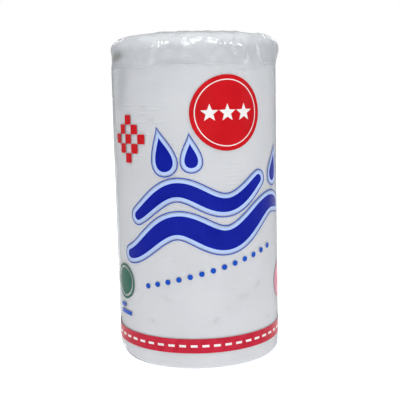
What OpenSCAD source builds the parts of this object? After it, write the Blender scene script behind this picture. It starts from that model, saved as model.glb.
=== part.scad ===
// A paper towel roll in its clear printed film, standing on its end.
// Millimetres, +Z up. The origin is on the roll's axis, on the surface it stands on,
// and the printed front faces -Y. Azimuths are in degrees from the front,
// positive towards +X.

/* [Paper] */
// Diameter of the wound paper
paper_d = 129; // [110:1:150]
// Length of the roll along its axis, the width of one sheet
paper_len = 230; // [200:1:280]
// Rounding of the two soft edges of the wound paper
paper_edge_r = 3.5; // [3.2:0.1:6]
// Length of one sheet between two perforations
sheet_len = 240; // [200:5:280]
// Thickness of one embossed sheet, the step at the loose end
sheet_t = 0.6; // [0.3:0.1:1]
// Azimuth of the loose end of the last turn
tail_azimuth = 255; // [200:5:300]
// Spacing of the turns drawn on the two end faces
turn_pitch = 3; // [2:0.5:5]
// Width of the gap between two turns
turn_gap = 0.5; // [0.3:0.1:1]
// Depth of the gap between two turns
turn_depth = 0.5; // [0.2:0.1:1.5]
// Width of the perforation line
perforation_w = 0.6; // [0.3:0.1:1]
// Depth of the perforation line
perforation_depth = 0.3; // [0.1:0.1:0.6]

/* [Core] */
// Inside diameter of the cardboard core
core_id = 40; // [30:1:50]
// Wall of the cardboard core
core_wall = 1; // [0.6:0.1:2]
// Clearance between the core and the first turn
core_fit = 0.1; // [0.05:0.05:0.3]

/* [Film] */
// Thickness of the film
film_t = 0.3; // [0.2:0.05:0.4]
// Clearance between the paper and the film
film_fit = 0.2; // [0.1:0.1:0.5]
// Thickness of the folds pressed flat under the roll
base_t = 1; // [0.8:0.1:2]
// Rounding of the bottom edge
base_edge_r = 4; // [3:0.5:6]
// Number of folds pressed flat under the roll
base_folds = 16; // [8:1:24]
// Width of the crease between two pressed folds
base_crease_w = 1; // [0.5:0.1:2]
// Depth of the crease between two pressed folds
base_crease_depth = 0.4; // [0.2:0.1:0.6]
// Radius of the sealed spot in the middle of the base
base_seal_r = 9; // [6:1:14]
// Azimuth of the lap seam
seam_azimuth = 180; // [170:5:200]
// Width of the lap seam
seam_w = 9; // [5:1:15]
// Height that the second layer of film adds at the lap seam
seam_t = 0.15; // [0.1:0.05:0.3]

/* [Top closure] */
// Height of the loose film above the paper
head_h = 21; // [15:0.5:32]
// Rounding of the top edge
head_edge_r = 12; // [6:0.5:14]
// Height that the film bulges over its top edge
head_crown = 2.5; // [0:0.1:5]
// Length of film below the paper's top edge that is already loose
slack_below = 6; // [5:0.5:12]
// Number of pleats gathered to the middle
pleats = 24; // [12:1:28]
// Height of the pleats at the top edge
pleat_h = 1.3; // [0.5:0.1:2]
// Angle that the pleats turn on their way to the middle
pleat_swirl = 34; // [0:1:60]
// Radius of the sealed spot where the pleats meet
pinch_r = 8; // [6:0.5:12]
// Depth of that spot below the film around it
pinch_drop = 4; // [2:0.5:8]
// Azimuth of the fold that stands out at the top edge
ear_azimuth = 88; // [60:1:120]
// Distance that this fold stands out
ear_out = 2.7; // [0:0.1:5]
// Half of the angle that this fold takes up
ear_half_angle = 15; // [10:1:30]

/* [Print] */
// Thickness of one layer of print
print_t = 0.1; // [0.05:0.05:0.15]
// Clearance between the film and the print, and between two layers of print
print_fit = 0.02; // [0.02:0.01:0.05]
// Height of the lower edge of the red band
band_z = 14.2; // [10:0.1:30]
// Width of the red band
band_h = 11.1; // [6:0.1:20]
// Number of white dashes round the red band
band_dashes = 44; // [20:1:60]
// Length of a white dash
dash_w = 5.2; // [2:0.1:6]
// Height of a white dash
dash_h = 1.8; // [1:0.1:4]
// Unprinted margin on each side of the lap seam
seam_margin = 6; // [2:1:20]
// Azimuth of the round badge
badge_azimuth = 21.7; // [10:0.1:30]
// Depth of the centre of the round badge below the paper's top
badge_below = 37.5; // [36:0.1:60]
// Radius of the round badge
badge_r = 27.7; // [20:0.1:28]
// Distance of the white ring from the edge of the badge
ring_inset = 3.2; // [2:0.1:6]
// Width of the white ring
ring_w = 0.7; // [0.4:0.1:1.5]
// Radius of one of the three stars on the badge
star_r = 6.8; // [3:0.1:7]
// Distance between two stars
star_pitch = 13.6; // [12:0.1:15]
// Half of the width of the lower blue wave at its thickest
wave_half = 7.5; // [5:0.5:9]
// Half of the width of a blue wave at its ends
wave_end_half = 3.5; // [2:0.5:4]
// Height from the middle of the wave to a crest
wave_rise = 9; // [5:0.5:11]
// Distance from crest to crest, along the film
wave_pitch = 84; // [80:1:100]
// Width of the light blue border round the blue shapes
border_w = 2.4; // [1:0.1:3]
// Gap between that border and the thin line round it
line_gap = 0.8; // [0.5:0.1:1.5]
// Width of the thin line
line_w = 0.8; // [0.5:0.1:1.2]
// Side of one square of the red checks
check_side = 7.2; // [4:0.1:8]
// Radius of the green seal
seal_r = 14; // [8:0.5:15]
// Radius of the pink dot
dot_r = 15; // [8:0.5:16]
// Radius of one of the small blue dots in a row
small_dot_r = 2.1; // [1:0.1:3]

/* [Hidden] */
$fn = 96;

// Colours as the photograph shows them
film_colour = [0.86, 0.89, 0.91, 0.35];
paper_colour = [0.93, 0.93, 0.93];
card_colour = [0.66, 0.56, 0.44];
red_colour = [0.83, 0.04, 0.07];
blue_colour = [0.04, 0.09, 0.48];
light_blue_colour = [0.38, 0.66, 0.92];
white_colour = [0.95, 0.95, 0.95];
green_colour = [0.05, 0.33, 0.17];
pink_colour = [0.91, 0.45, 0.55];

// Main radii and heights
paper_r = paper_d / 2;
core_r = core_id / 2 + core_wall;
bore_r = core_r + core_fit;
film_r = paper_r + film_fit + film_t;
paper_z = base_t + film_fit;
paper_top = paper_z + paper_len;
head_top = paper_top + head_h;
wall_top = paper_top - slack_below;

// The loose end and the perforation, as angles from +X
tail_angle = tail_azimuth - 90;
perforation_angle = tail_angle + sheet_len / paper_r * 180 / PI;

// How far the closure's wall reaches down inside the straight wall, and how far
// inside its outer face it stays there
lap = 2;
lap_inset = film_t / 4;
// Overlap that lets a cut pass right through a face
cut = 1;

// Paper

// Half of the section of a roll with two rounded edges
module roll_section(r) {
    edge = paper_edge_r;
    square([r - edge, paper_len]);
    translate([0, edge]) square([r, paper_len - 2 * edge]);
    for (z = [edge, paper_len - edge]) translate([r - edge, z]) circle(r = edge);
}

// Two half rolls, whose outline ends in the step of the loose sheet
module wound_body() {
    rotate_extrude(angle = 180) roll_section(paper_r);
    translate([-sheet_t / 2, 0, 0])
        rotate([0, 0, 180]) rotate_extrude(angle = 180) roll_section(paper_r - sheet_t / 2);
}

// A spiral gap of half rings struck from two centres, turn_pitch / 2 apart
module turn_gaps() {
    first = bore_r + turn_pitch;
    last = paper_r - paper_edge_r - turn_pitch / 2;
    halves = floor((last - first) / (turn_pitch / 2));
    for (i = [0:halves - 1]) {
        odd = i % 2;
        translate([odd * turn_pitch / 2, 0, 0]) rotate([0, 0, 180 * (1 - odd)])
            rotate_extrude(angle = 180)
                translate([first + i * turn_pitch / 2 - turn_gap / 2, -turn_depth])
                    square([turn_gap, turn_depth + cut]);
    }
}

module paper_roll() {
    color(paper_colour) translate([0, 0, paper_z]) difference() {
        rotate([0, 0, tail_angle]) wound_body();
        translate([0, 0, -cut]) cylinder(r = bore_r, h = paper_len + 2 * cut);
        rotate([0, 0, tail_angle]) translate([0, 0, paper_len]) turn_gaps();
        rotate([0, 0, tail_angle]) mirror([0, 0, 1]) turn_gaps();
        rotate([0, 0, perforation_angle])
            translate([paper_r - perforation_depth - sheet_t / 2, -perforation_w / 2, -cut])
                cube([perforation_depth + sheet_t, perforation_w, paper_len + 2 * cut]);
    }
}

// Core

module core_tube() {
    color(card_colour) translate([0, 0, paper_z]) difference() {
        cylinder(r = core_r, h = paper_len);
        translate([0, 0, -cut]) cylinder(r = core_id / 2, h = paper_len + 2 * cut);
    }
}

// Film wrapper

// Half of the section of a round cup from height z up to top, with a rounded bottom edge
module cup_section(r, edge, z, top) {
    translate([0, z]) square([r - edge, top - z]);
    translate([0, z + edge]) square([r, top - z - edge]);
    translate([r - edge, z + edge]) circle(r = edge);
}

module wall_and_base() {
    rotate_extrude() difference() {
        cup_section(film_r, base_edge_r, 0, wall_top);
        difference() {
            cup_section(film_r - film_t, base_edge_r - film_t, film_t, wall_top + cut);
            square([film_r - base_edge_r, base_t]);
        }
    }
}

// Creases between the folds pressed flat under the roll, and the edge of their seal
module base_creases() {
    reach = film_r - base_edge_r;
    for (i = [0:base_folds - 1]) rotate([0, 0, (i + 0.5) * 360 / base_folds])
        translate([base_seal_r + base_crease_w, -base_crease_w / 2, -cut])
            cube([reach - base_seal_r - 2 * base_crease_w, base_crease_w, cut + base_crease_depth]);
    translate([0, 0, -cut]) difference() {
        cylinder(r = base_seal_r, h = cut + base_crease_depth);
        translate([0, 0, -cut]) cylinder(r = base_seal_r - base_crease_w, h = 3 * cut);
    }
}

// Second layer of film where its two edges overlap
module lap_seam() {
    seam_angle = seam_w / film_r * 180 / PI;
    rotate([0, 0, seam_azimuth - 90 - seam_angle / 2]) rotate_extrude(angle = seam_angle)
        translate([film_r - film_t / 2, base_edge_r + cut])
            square([film_t / 2 + seam_t, wall_top - base_edge_r - 2 * cut]);
}

// The closure is a grid of rings and columns. Each ring has a radius, a height, the
// direction that the film faces there, and the share of the pleats and of the fold
// that stands out.
columns_per_pleat = 4;
columns = pleats * columns_per_pleat;
skirt_steps = 4;
edge_steps = 5;
crown_steps = 7;
edge_low = head_top - head_edge_r;
crown_r = film_r - head_edge_r;

function smooth(t) = let (u = min(max(t, 0), 1)) u * u * (3 - 2 * u);

// Share of the pleats' height that the wall under the top edge shows, share of the way
// to the middle at which the film starts to dip, and the share of the pleats left there
pleat_on_wall = 0.7;
dip_from = 0.72;
pleat_at_pinch = 0.25;

lap_rings = [for (z = [wall_top - lap, wall_top]) [film_r - lap_inset, z, 0, 0, 0]];
skirt_rings = [for (i = [1:skirt_steps])
    let (t = i / skirt_steps)
    [film_r, wall_top + t * (edge_low - wall_top), 0, pleat_on_wall * smooth(t), t * smooth(t)]];
edge_rings = [for (i = [1:edge_steps])
    let (a = 90 * i / edge_steps)
    [crown_r + head_edge_r * cos(a), edge_low + head_edge_r * sin(a), a,
        pleat_on_wall + (1 - pleat_on_wall) * sin(a), smooth(1.15 - a / 60)]];
crown_rings = [for (i = [1:crown_steps])
    let (t = i / crown_steps)
    [crown_r + t * (pinch_r - crown_r), head_top + head_crown * sin(180 * t)
        - pinch_drop * smooth((t - dip_from) / (1 - dip_from)),
        90, 1 - (1 - pleat_at_pinch) * t, 0]];
pinch_rings = [[pinch_r / 2, head_top - pinch_drop - film_t, 90, pleat_at_pinch / 2, 0]];
rings = concat(lap_rings, skirt_rings, edge_rings, crown_rings, pinch_rings);

// Each pleat rises slowly and folds back fast, and no two are equally high. Most of a
// pleat lies under the film's smooth outline
pleat_wave = [0, 0.45, 0.85, 1];
pleat_middle = 0.7;
function pleat_size(i) = 0.66 + 0.34 * sin(137 * i) * cos(61 * i);
function ear_share(angle) =
    let (off = abs((angle - ear_azimuth + 90 + 540) % 360 - 180))
    smooth(1 - off / ear_half_angle);

// Point of the closure on ring k and column c, with the film's thickness taken off
// the outer face by depth
function closure_point(k, c, depth) =
    let (
        ring = rings[k],
        swirl = pleat_swirl * (1 - ring[0] / film_r),
        angle = c * 360 / columns + swirl,
        pleat = floor(c / columns_per_pleat),
        relief = ring[3] * pleat_h * pleat_size(pleat)
            * (pleat_wave[c % columns_per_pleat] - pleat_middle),
        out = relief + ring[4] * ear_out * ear_share(angle) - depth,
        r = ring[0] + out * cos(ring[2]),
        z = ring[1] + out * sin(ring[2])
    )
    [r * cos(angle), r * sin(angle), z];

// Solid under the closure's face, down to the foot of its lap
module closure_solid(depth, foot) {
    n = len(rings);
    top_z = rings[n - 1][1] - depth;
    points = concat(
        [for (c = [0:columns - 1]) let (p = closure_point(0, c, depth)) [p[0], p[1], foot]],
        [for (k = [1:n - 1]) for (c = [0:columns - 1]) closure_point(k, c, depth)],
        [[0, 0, top_z]]
    );
    faces = concat(
        [[for (c = [0:columns - 1]) c]],
        [for (k = [0:n - 2]) for (c = [0:columns - 1]) each
            let (
                a = k * columns + c,
                b = k * columns + (c + 1) % columns,
                d = a + columns,
                e = b + columns
            )
            [[a, d, b], [b, d, e]]],
        [for (c = [0:columns - 1])
            [(n - 1) * columns + c, n * columns, (n - 1) * columns + (c + 1) % columns]]
    );
    polyhedron(points = points, faces = faces, convexity = 6);
}

module closure() {
    difference() {
        closure_solid(0, wall_top - lap);
        closure_solid(film_t, wall_top - lap - cut);
    }
}

module film_wrapper() {
    color(film_colour) {
        difference() {
            wall_and_base();
            base_creases();
        }
        lap_seam();
        closure();
    }
}

// Print

// Each colour is printed in its own layer, so that none runs into another
light_blue_layer = 0;
pink_layer = 0;
blue_layer = 1;
red_layer = 2;
green_layer = 2;
white_layer = 3;

// Radius of the inner face of a layer of print
function layer_r(layer) = film_r + print_fit + layer * (print_t + print_fit);

// Height of what is printed this far below the paper's top
function below_top(depth) = paper_top - depth;

print_low = band_z;
print_high = wall_top;

// One layer of print all round the straight wall
module layer_shell(layer) {
    translate([0, 0, print_low]) difference() {
        cylinder(r = layer_r(layer) + print_t, h = print_high - print_low);
        translate([0, 0, -cut]) cylinder(r = layer_r(layer), h = print_high - print_low + 2 * cut);
    }
}

// What a flat shape, drawn as it is seen from outside, covers of a layer of print
module stamped(azimuth, layer) {
    intersection() {
        layer_shell(layer);
        rotate([0, 0, azimuth]) rotate([90, 0, 0])
            linear_extrude(height = film_r + 2 * cut) children();
    }
}

// Points drawn on the unrolled film, seen on the round film from azimuth view: sizes
// along the film stay true
function wrapped(points, azimuth, z, tilt = 0, view = undef) =
    let (from = is_undef(view) ? azimuth : view)
    [for (p = points)
        let (
            x = p[0] * cos(tilt) - p[1] * sin(tilt),
            y = p[0] * sin(tilt) + p[1] * cos(tilt)
        )
        [film_r * sin(azimuth - from + x / film_r * 180 / PI), z + y]];

// The rings and bars that run round the roll, between two angles
module ring_piece(layer, from, to, z, height) {
    rotate([0, 0, from]) rotate_extrude(angle = to - from)
        translate([layer_r(layer), z]) square([print_t, height]);
}

seam_clear_angle = (seam_w / 2 + seam_margin) / film_r * 180 / PI;
band_from = seam_azimuth - 90 + seam_clear_angle;
band_to = seam_azimuth - 90 + 360 - seam_clear_angle;

module red_band() {
    ring_piece(red_layer, band_from, band_to, band_z, band_h);
}

module band_dash_row() {
    step = (band_to - band_from) / band_dashes;
    half = dash_w / 2 / film_r * 180 / PI;
    for (i = [0:band_dashes - 1]) {
        middle = band_from + (i + 0.5) * step;
        ring_piece(white_layer, middle - half, middle + half,
            band_z + (band_h - dash_h) / 2, dash_h);
    }
}

function star(r) = [for (i = [0:9])
    let (a = 90 + i * 36, rr = i % 2 == 0 ? r : 0.42 * r) [rr * cos(a), rr * sin(a)]];

module badge_marks() {
    ring_r = badge_r - ring_inset;
    stamped(badge_azimuth, white_layer) translate([0, below_top(badge_below)]) difference() {
        circle(r = ring_r);
        circle(r = ring_r - ring_w);
    }
    for (i = [-1:1]) stamped(badge_azimuth, white_layer)
        translate([i * star_pitch, below_top(badge_below)]) polygon(star(star_r));
}

// Red checks in a lozenge of rows 1, 2, 3, 2 and 1 squares long
check_azimuth = -51;
check_below = 56;
check_rows = [1, 2, 3, 2, 1];

module red_checks() {
    half = check_side / 2;
    square_points = [[-half, -half], [half, -half], [half, half], [-half, half]];
    for (row = [0:4]) for (i = [0:check_rows[row] - 1]) {
        dx = (2 * i - check_rows[row] + 1) * check_side;
        dz = (row - 2) * check_side;
        azimuth = check_azimuth + dx / film_r * 180 / PI;
        stamped(azimuth, red_layer)
            polygon(wrapped(square_points, azimuth, below_top(check_below) + dz));
    }
}

// The blue waves, each from one azimuth to another, with the depth of its middle line
// below the paper's top on the left, its climb to the right, and the half width of its
// thickest part. Their crests lie over each other
waves = [[-52, 72, 135, 21, wave_half], [-43, 46, 107, 15, 0.72 * wave_half]];
wave_trough_azimuth = -52;
wave_view = 12;
wave_steps = 40;

function wave_middle(w, t) =
    let (
        azimuth = w[0] + t * (w[1] - w[0]),
        along = (azimuth - wave_trough_azimuth) * PI / 180 * film_r
    )
    [azimuth * PI / 180 * film_r,
        below_top(w[2]) + w[3] * t - wave_rise * cos(360 * along / wave_pitch)];
function unit(v) = v / norm(v);
function wave_normal(w, t) =
    let (d = unit(wave_middle(w, t + 0.005) - wave_middle(w, t - 0.005))) [-d[1], d[0]];
function wave_half_at(w, t) =
    let (end_half = min(wave_end_half, w[4]))
    end_half + (w[4] - end_half) * pow(sin(180 * t), 0.7);
function wave_cap(w, t, grow, turn) =
    let (n = wave_normal(w, t), r = wave_half_at(w, t) + grow, start = atan2(n[1], n[0]))
    [for (i = [1:5]) let (a = start + turn + i * 30) wave_middle(w, t) + r * [cos(a), sin(a)]];
function wave_edge(w, side, grow) = [for (i = [0:wave_steps])
    let (t = i / wave_steps)
    wave_middle(w, t) + side * (wave_half_at(w, t) + grow) * wave_normal(w, t)];
function reversed(list) = [for (i = [len(list) - 1:-1:0]) list[i]];
function wave_outline(w, grow) = concat(
    wave_edge(w, -1, grow), wave_cap(w, 1, grow, 180),
    reversed(wave_edge(w, 1, grow)), wave_cap(w, 0, grow, 0));

module wave(w, grow) {
    polygon(wrapped(wave_outline(w, grow), 0, 0, 0, wave_view));
}

// Drops over the waves: azimuth, depth below the paper's top, width, length and tilt
drops = [[-22, 67, 15, 26, 12], [-3, 68, 11, 18, 4], [66, 81, 12, 21, -14]];
drop_steps = 36;
function drop_outline(width, length, grow) = [for (i = [0:drop_steps - 1])
    let (a = i * 360 / drop_steps)
    [-(width / 2 + grow) * 1.3 * sin(a) * pow(sin(a / 2), 1.5),
        (length / 2 + grow) * cos(a) + grow / 2 * (1 + cos(a))]];

module drop(d, grow) {
    polygon(wrapped(drop_outline(d[2], d[3], grow), d[0], below_top(d[1]), d[4]));
}

// The row of small dots under the wave
dot_row_from = -36;
dot_row_to = 56;
dot_row_below = 167;
dot_row_climb = 26;
dot_row_count = 13;

module small_dots() {
    for (i = [0:dot_row_count - 1]) {
        t = i / (dot_row_count - 1);
        stamped(dot_row_from + t * (dot_row_to - dot_row_from), blue_layer)
            translate([0, below_top(dot_row_below) + dot_row_climb * t]) circle(r = small_dot_r);
    }
}

// The green seal, the bars under it and the pink dot at the sides
seal_azimuth = -62;
seal_z = 63.5;
bar_z = 37;
bar_h = 3.2;
bar_pitch = 5.4;
bar_half_angle = 8;
dot_azimuth = 81;
dot_z = 58;

module seal() {
    rim = seal_r / 8;
    stamped(seal_azimuth, green_layer) translate([0, seal_z]) {
        difference() {
            circle(r = seal_r);
            circle(r = seal_r - rim);
        }
        circle(r = seal_r - 2 * rim);
    }
}

module side_bars() {
    for (i = [0:1]) ring_piece(blue_layer, seal_azimuth - 90 - bar_half_angle,
        seal_azimuth - 90 + bar_half_angle * (1 - i), bar_z + i * bar_pitch, bar_h);
}

// Rows of small light blue drops on the back
back_drop_w = 7;
back_drop_l = 13;
back_azimuths = [118, 138, 222, 242];
back_rows = 5;
back_low = 60;
back_below = 43;

module back_drops() {
    step = (below_top(back_below) - back_low) / (back_rows - 1);
    for (row = [0:back_rows - 1]) for (azimuth = back_azimuths)
        stamped(azimuth, light_blue_layer) polygon(wrapped(
            drop_outline(back_drop_w, back_drop_l, 0), azimuth, back_low + row * step));
}

module print_red() {
    color(red_colour) {
        red_band();
        stamped(badge_azimuth, red_layer)
            translate([0, below_top(badge_below)]) circle(r = badge_r);
        red_checks();
        stamped(dot_azimuth, red_layer) translate([0, dot_z]) circle(r = dot_r / 2);
    }
}

module print_blue() {
    color(blue_colour) {
        for (w = waves) {
            stamped(wave_view, blue_layer) wave(w, 0);
            stamped(wave_view, blue_layer) difference() {
                wave(w, border_w + line_gap + line_w);
                wave(w, border_w + line_gap);
            }
        }
        for (d = drops) {
            stamped(d[0], blue_layer) drop(d, 0);
            stamped(d[0], blue_layer) difference() {
                drop(d, border_w + line_gap + line_w);
                drop(d, border_w + line_gap);
            }
        }
        small_dots();
        side_bars();
    }
}

module print_light_blue() {
    color(light_blue_colour) {
        for (w = waves) stamped(wave_view, light_blue_layer) wave(w, border_w);
        for (d = drops) stamped(d[0], light_blue_layer) drop(d, border_w);
        back_drops();
    }
}

module print_white() {
    color(white_colour) {
        badge_marks();
        band_dash_row();
    }
}

module print_green() {
    color(green_colour) seal();
}

module print_pink() {
    color(pink_colour)
        stamped(dot_azimuth, pink_layer) translate([0, dot_z]) circle(r = dot_r);
}

film_wrapper();
paper_roll();
core_tube();
print_red();
print_blue();
print_light_blue();
print_white();
print_green();
print_pink();
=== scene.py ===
import math

import bpy
import numpy as np
from mathutils import Matrix, Vector
from mathutils.geometry import delaunay_2d_cdt


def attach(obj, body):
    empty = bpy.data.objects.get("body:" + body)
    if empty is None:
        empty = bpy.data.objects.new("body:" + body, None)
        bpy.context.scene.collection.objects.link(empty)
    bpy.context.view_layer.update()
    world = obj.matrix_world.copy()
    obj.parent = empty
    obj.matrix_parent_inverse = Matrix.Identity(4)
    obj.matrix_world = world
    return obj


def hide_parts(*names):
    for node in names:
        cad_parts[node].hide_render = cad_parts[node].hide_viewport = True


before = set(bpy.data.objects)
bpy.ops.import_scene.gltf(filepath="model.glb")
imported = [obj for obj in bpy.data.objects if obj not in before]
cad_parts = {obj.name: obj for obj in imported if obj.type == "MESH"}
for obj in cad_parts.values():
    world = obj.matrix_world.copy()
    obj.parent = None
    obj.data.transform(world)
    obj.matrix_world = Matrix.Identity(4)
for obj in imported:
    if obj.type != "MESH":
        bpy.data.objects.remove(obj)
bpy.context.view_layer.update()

MM = 0.001
TAU = 2 * math.pi

# ---------------------------------------------------------------------------
# Sizes in millimetres and angles in degrees. They are the solids' own, apart from the
# film's thickness and the tighter rounding of the paper's upper edge. An azimuth
# runs from the printed front, -Y, towards +X.
# ---------------------------------------------------------------------------
PAPER_R = 64.5
PAPER_LEN = 230.0
PAPER_EDGE_R = 3.5
PAPER_TOP_EDGE_R = 1.8
SHEET_LEN = 240.0
SHEET_T = 0.6
TAIL_AZIMUTH = 255.0
PERFORATION_AZIMUTH = (TAIL_AZIMUTH + math.degrees(SHEET_LEN / PAPER_R)) % 360.0
CORE_ID = 40.0
CORE_WALL = 1.0
CORE_FIT = 0.1
BORE_R = CORE_ID / 2 + CORE_WALL + CORE_FIT
FILM_R = 65.0
FILM_T = 0.12
BASE_T = 1.0
BASE_EDGE_R = 4.0
BASE_FOLDS = 16
BASE_SEAL_R = 9.0
PAPER_Z = 1.2
PAPER_TOP = PAPER_Z + PAPER_LEN
HEAD_H = 21.0
HEAD_TOP = PAPER_TOP + HEAD_H
HEAD_EDGE_R = 12.0
HEAD_CROWN = 2.5
SLACK_BELOW = 6.0
WALL_TOP = PAPER_TOP - SLACK_BELOW
EDGE_LOW = HEAD_TOP - HEAD_EDGE_R
CROWN_R = FILM_R - HEAD_EDGE_R
PLEATS = 24
PLEAT_H = 1.3
PLEAT_SWIRL = 34.0
PINCH_R = 8.0
PINCH_DROP = 4.0
EAR_AZIMUTH = 88.0
EAR_OUT = 2.7
EAR_HALF = 15.0
SEAM_AZIMUTH = 180.0
SEAM_W = 9.0
SEAM_T = 0.15
SEAM_EDGE = 0.3


def smooth(t):
    u = np.clip(t, 0.0, 1.0)
    return u * u * (3 - 2 * u)


def around(azimuth, centre):
    """Signed difference of two azimuths, from -180 to 180 degrees."""
    return (np.asarray(azimuth) - centre + 180.0) % 360.0 - 180.0


# ---------------------------------------------------------------------------
# Mesh helpers
# ---------------------------------------------------------------------------
def mesh_object(name, points, faces, smooth_shade=True):
    mesh = bpy.data.meshes.new(name)
    mesh.from_pydata([tuple(p) for p in np.asarray(points, float) * MM], [], faces)
    mesh.validate()
    mesh.update()
    if smooth_shade:
        mesh.shade_smooth()
    obj = bpy.data.objects.new(name, mesh)
    bpy.context.scene.collection.objects.link(obj)
    return obj


def float_attribute(obj, name, values):
    attribute = obj.data.attributes.new(name, "FLOAT", "POINT")
    attribute.data.foreach_set("value", np.asarray(values, np.float32))


def ring_faces(rows, columns, flip=False):
    """Quads of a closed tube of rows x columns points, row after row."""
    c = np.arange(columns)
    nxt = (c + 1) % columns
    faces = []
    for k in range(rows - 1):
        a, b = k * columns + c, k * columns + nxt
        d, e = a + columns, b + columns
        quad = np.stack([a, b, e, d] if not flip else [a, d, e, b], axis=1)
        faces.extend(quad.tolist())
    return faces


def sines(rng, count, n_range, q_range):
    """Random terms of a soft periodic relief round the roll."""
    return [
        (
            int(rng.integers(n_range[0], n_range[1] + 1)),
            float(rng.uniform(*q_range)),
            float(rng.uniform(0, TAU)),
            float(rng.uniform(0.6, 1.0)),
        )
        for _ in range(count)
    ]


def relief(terms, angle, along):
    """Sum of sine terms at an angle in radians and a length in millimetres."""
    total = 0.0
    for n, q, phase, size in terms:
        total = total + size * np.sin(n * angle + q * along + phase)
    return total / math.sqrt(len(terms))


# ---------------------------------------------------------------------------
# The film's surface
# ---------------------------------------------------------------------------
rng = np.random.default_rng(388)
WALL_SOFT = sines(rng, 10, (2, 9), (-0.05, 0.05))
WALL_FINE = sines(rng, 16, (14, 42), (-0.22, 0.22))
TOP_FOLDS = sines(rng, 12, (11, 31), (-0.05, 0.05))
CRUMPLE = sines(rng, 26, (26, 84), (-0.9, 0.9))
CRUMPLE_BROAD = sines(rng, 14, (9, 26), (-0.4, 0.4))
DIMPLES = sines(rng, 22, (5, 16), (-0.16, 0.16))
END_SOFT = sines(rng, 12, (2, 12), (-0.9, 0.9))

# Creases that stand out of the film: azimuth at the foot, lowest and highest height,
# half width in degrees, height in millimetres and lean in degrees to the top
CREASES = [
    (-67.0, 170.0, 233.0, 4.5, 0.5, -8.0),
    (-64.0, 176.0, 236.0, 3.2, 0.3, -5.0),
    (-80.0, 30.0, 120.0, 4.0, 0.3, 5.0),
    (60.0, 212.0, 246.0, 1.5, 0.5, -14.0),
    (62.0, 196.0, 226.0, 1.4, 0.35, -2.0),
    (-31.0, 226.0, 247.0, 3.0, 0.7, 5.0),
    (-4.0, 232.0, 249.0, 2.6, 0.7, -5.0),
    (12.0, 231.0, 248.0, 4.2, 0.9, 4.0),
    (19.0, 233.0, 250.0, 2.4, 0.7, -3.0),
    (34.0, 232.0, 248.0, 2.8, 0.4, 4.0),
    (-52.0, 224.0, 247.0, 3.2, 0.6, -6.0),
    (150.0, 190.0, 246.0, 3.2, 0.5, 4.0),
    (210.0, 200.0, 246.0, 3.0, 0.5, -5.0),
    (110.0, 205.0, 247.0, 2.6, 0.5, 3.0),
    (-104.0, 196.0, 246.0, 3.4, 0.5, 4.0),
    (-130.0, 206.0, 246.0, 2.8, 0.5, -3.0),
]

# Corners pressed in round the foot: azimuth, reach in degrees, depth in millimetres
FOOT_CUTS = [(-86.0, 80.0, 2.1), (88.0, 40.0, 0.35), (170.0, 50.0, 1.1)]
FOOT_CUT_LEAST = 0.05
FOOT_CUT_REACH = 4.2


def foot_cut(azimuth):
    """How far the roll's lower edge is rounded off beyond its even fillet."""
    pressed = sum(d * smooth(1 - np.abs(around(azimuth, az)) / half) for az, half, d in FOOT_CUTS)
    return FOOT_CUT_LEAST + pressed


def crease_relief(azimuth, z):
    """Ridges with one steep side, fading in at the foot and out at the top."""
    total = 0.0
    for az, low, high, half, height, lean in CREASES:
        t = (z - low) / (high - low)
        off = around(azimuth, az + lean * t) / half
        body = np.exp(-(off ** 2) * 1.6) * (1 + 0.35 * np.tanh(3 * off))
        total = total + height * body * smooth(t * 2.2) * smooth((1.15 - t) * 3)
    return total


# Small dimples where the film presses into the paper: azimuth, height, half width,
# half height and depth in millimetres, lean in degrees
DIMPLE_SPOTS = [
    (-34.0, 37.5, 3.2, 1.6, 0.30, -35.0), (11.0, 39.0, 3.4, 1.7, 0.34, 30.0),
    (45.0, 62.0, 2.6, 1.8, 0.34, 40.0), (32.0, 55.0, 3.6, 2.4, 0.20, 10.0),
    (-22.0, 55.5, 4.2, 2.2, 0.20, -25.0), (20.0, 47.0, 5.0, 2.0, 0.15, -50.0),
    (58.0, 34.0, 3.0, 1.6, 0.22, -30.0), (-36.0, 198.0, 4.0, 1.8, 0.22, -60.0),
    (-30.0, 190.0, 3.0, 1.5, 0.20, 20.0), (100.0, 80.0, 3.4, 1.7, 0.28, 30.0),
    (160.0, 60.0, 3.2, 1.6, 0.28, -30.0), (205.0, 120.0, 3.4, 1.8, 0.26, 40.0),
    (150.0, 150.0, 3.2, 2.0, 0.24, 10.0), (250.0, 50.0, 3.4, 1.8, 0.28, -40.0),
]

# The side of the wall that the closing fold draws in, and its half width
DRAWN_AZIMUTH = -86.0
DRAWN_HALF = 24.0


def dimple(across, up, half_w, half_h, lean):
    """Depth share of an oval dimple, across and up from its middle."""
    c, s = math.cos(math.radians(lean)), math.sin(math.radians(lean))
    x, y = (across * c + up * s) / half_w, (up * c - across * s) / half_h
    return np.exp(-(x ** 2 + y ** 2))


def wall_relief(azimuth, z):
    """How far the tight film stands off its mean radius."""
    a = np.radians(azimuth)
    top = smooth((z - 175.0) / 60.0)
    foot = smooth((26.0 - z) / 22.0)
    out = 0.05 * relief(WALL_SOFT, a, z) + 0.012 * relief(WALL_FINE, a, z)
    out = out + (0.10 * top + 0.05 * foot) * relief(TOP_FOLDS, a, z)
    seam = np.abs(around(azimuth, SEAM_AZIMUTH)) * math.radians(1) * FILM_R
    out = out + SEAM_T * smooth((SEAM_W / 2 + SEAM_EDGE - seam) / (2 * SEAM_EDGE))
    for az, high, half_w, half_h, depth, lean in DIMPLE_SPOTS:
        across = np.radians(around(azimuth, az)) * FILM_R
        out = out - depth * dimple(across, z - high, half_w, half_h, lean)
    drawn = 0.15 * smooth((z - 185) / 20) + 0.65 * smooth((z - 228.5) / 5)
    drawn = drawn * smooth((244 - z) / 8)
    drawn = drawn * np.exp(-(around(azimuth, DRAWN_AZIMUTH) / DRAWN_HALF) ** 2)
    return out + crease_relief(azimuth, z) - drawn


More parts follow.
